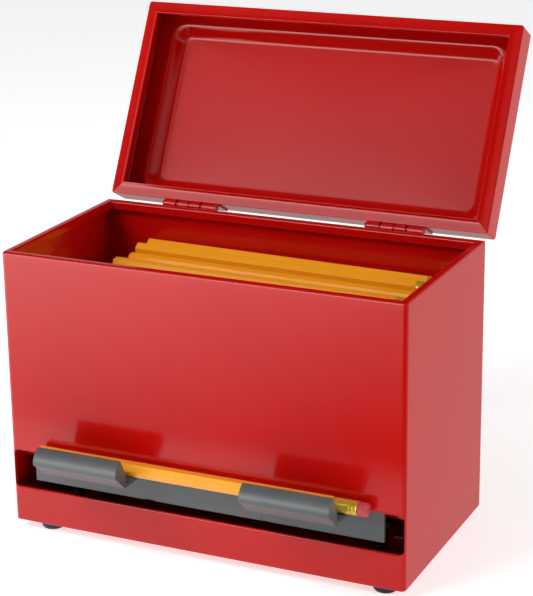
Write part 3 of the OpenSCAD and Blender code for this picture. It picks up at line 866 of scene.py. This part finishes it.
def finish_glow(tree, strength):
    glow = node(tree, "ShaderNodeEmission", {"Strength": strength})
    out = node(tree, "ShaderNodeOutputMaterial")
    tree.links.new(glow.outputs[0], out.inputs["Surface"])


def make_dome():
    """What glossy paint sees above the table: pale walls, a dark ceiling and one low soft lamp."""
    dome = glow_dome("dome", DOME_R)
    material, tree, place = glow_material("dome")
    direction = node(tree, "ShaderNodeVectorMath", {0: place}, operation="NORMALIZE").outputs[0]
    height = node(tree, "ShaderNodeSeparateXYZ", {0: direction}).outputs[2]
    level = node(tree, "ShaderNodeVectorMath", {0: place, 1: (1, 1, 0)}, operation="MULTIPLY").outputs[0]
    level = node(tree, "ShaderNodeVectorMath", {0: level}, operation="NORMALIZE").outputs[0]
    turn = math.radians(LAMP_AZIMUTH)
    facing = node(tree, "ShaderNodeVectorMath", {0: level, 1: (math.sin(turn), -math.cos(turn), 0)},
                  operation="DOT_PRODUCT").outputs["Value"]
    beam = node(tree, "ShaderNodeMapRange", {"Value": facing, "From Min": 0.93, "From Max": 0.995},
                interpolation_type="SMOOTHSTEP").outputs[0]
    lamp = grey_ramp(tree, height, [
        (0.0, 0.9), (0.3, 0.9), (0.42, 0.6), (0.5, 0.38), (0.616, 0.2), (0.707, 0.07), (0.78, 0.0)])
    walls = grey_ramp(tree, height, [
        (0.0, 0.60), (0.25, 0.55), (0.40, 0.20), (0.55, 0.01), (0.8, 0.01), (1.0, 0.10)])
    lit = arithmetic(tree, "MULTIPLY", arithmetic(tree, "MULTIPLY", beam, lamp), LAMP_GLOW)
    finish_glow(tree, arithmetic(tree, "ADD", lit, walls))
    dome.data.materials.append(material)
    for_paint_only(dome)


def make_backdrop():
    """A plain pale background all round: it is seen, but lights nothing."""
    backdrop = glow_dome("backdrop", BACKDROP_R)
    material, tree, place = glow_material("backdrop")
    height = node(tree, "ShaderNodeSeparateXYZ", {0: place}).outputs[2]
    finish_glow(tree, grey_ramp(tree, height, [(0.0, 0.97), (1.0, 0.93)]))
    backdrop.data.materials.append(material)
    for_paint_only(backdrop)
    backdrop.visible_camera = True
    backdrop.visible_glossy = False


def make_reflector():
    """What glossy paint sees in place of the floor: a table that grows brighter towards the lamp."""
    card = flat_sheet("reflector", CARD_HEIGHT)
    material, tree, place = glow_material("reflector")
    apart = node(tree, "ShaderNodeSeparateXYZ", {0: place})
    x, y = apart.outputs[0], apart.outputs[1]
    front_y = CASE_MID.y - HALF_D
    along = arithmetic(tree, "MULTIPLY", x, CARD_SLOPE_X)
    beyond = arithmetic(tree, "SUBTRACT", y, CASE_MID.y)
    away = arithmetic(tree, "MULTIPLY_ADD", beyond, CARD_SLOPE_Y, along)
    away = arithmetic(tree, "ADD", away, CARD_START)
    far = arithmetic(tree, "MINIMUM", arithmetic(tree, "MAXIMUM", away, CARD_DARKEST), CARD_BRIGHTEST)
    near_edge = front_y - CARD_NEAR_REACH
    fade = rising(tree, y, near_edge - 0.02, near_edge + 0.008)
    near = arithmetic(tree, "MULTIPLY_ADD", x, CARD_NEAR_SLOPE, CARD_NEAR_LEVEL)
    near = arithmetic(tree, "MULTIPLY", near, fade)
    front = arithmetic(tree, "MAXIMUM", far, near)
    behind = rising(tree, y, front_y, front_y + 0.03)
    mixed = node(tree, "ShaderNodeMix", data_type="FLOAT")
    for slot, value in ((0, behind), (2, front)):
        tree.links.new(value, mixed.inputs[slot])
    mixed.inputs[3].default_value = CARD_BEHIND
    finish_glow(tree, mixed.outputs[0])
    card.data.materials.append(material)
    for_paint_only(card)


def area_light(name, place, target, size, power):
    data = bpy.data.lights.new(name, "AREA")
    data.shape = "RECTANGLE"
    data.size, data.size_y = size
    data.energy = power
    light = bpy.data.objects.new(name, data)
    bpy.context.scene.collection.objects.link(light)
    light.location = place
    light.visible_glossy = False
    light.rotation_mode = "QUATERNION"
    light.rotation_quaternion = (Vector(target) - Vector(place)).to_track_quat("-Z", "Y")


def make_lights():
    """An even pale room, one low softbox in front on the left, and two softer fills."""
    world = bpy.data.worlds.new("studio")
    bpy.context.scene.world = world
    world.use_nodes = True
    background = world.node_tree.nodes["Background"]
    background.inputs["Color"].default_value = (1, 1, 1, 1)
    background.inputs["Strength"].default_value = WORLD_LEVEL
    for lamp in LAMPS:
        area_light(*lamp)
    bpy.context.scene.view_settings.view_transform = "Standard"


# ---------- assembly ----------

# CAD nodes shown as they are: bevel width in mm, bevel segments, nodes
DRESSED = (
    (0.15, 2, ("base_plate", "hopper_floor")),
    (0.4, 3, ("cradle",)),
    (0.2, 2, ("left_hinge_case_leaf", "left_hinge_lid_leaf", "right_hinge_case_leaf", "right_hinge_lid_leaf",
              "left_hinge_pin", "right_hinge_pin", "case_hinge_rivets", "lid_hinge_rivets")),
    (0.3, 3, ("front_left_foot", "front_right_foot", "back_left_foot", "back_right_foot", "up_stops")),
    (0.12, 2, ("pivot_rod", "left_pivot_bracket", "right_pivot_bracket", "bracket_rivets", "rod_clips",
               "spring_guides", "foot_screws", "foot_nuts")),
    (0.01, 1, ("left_return_spring", "right_return_spring")),
)

add_camera()
make_lid()
make_wrap()
make_slot_folds()
make_back()
make_pencils("ready_pencil", "")
make_pencils("stock_pencil", "s")
for width, segments, names in DRESSED:
    for name in names:
        dress(name, width * MM, segments)
make_floor()
make_reflector()
make_dome()
make_backdrop()
make_lights()
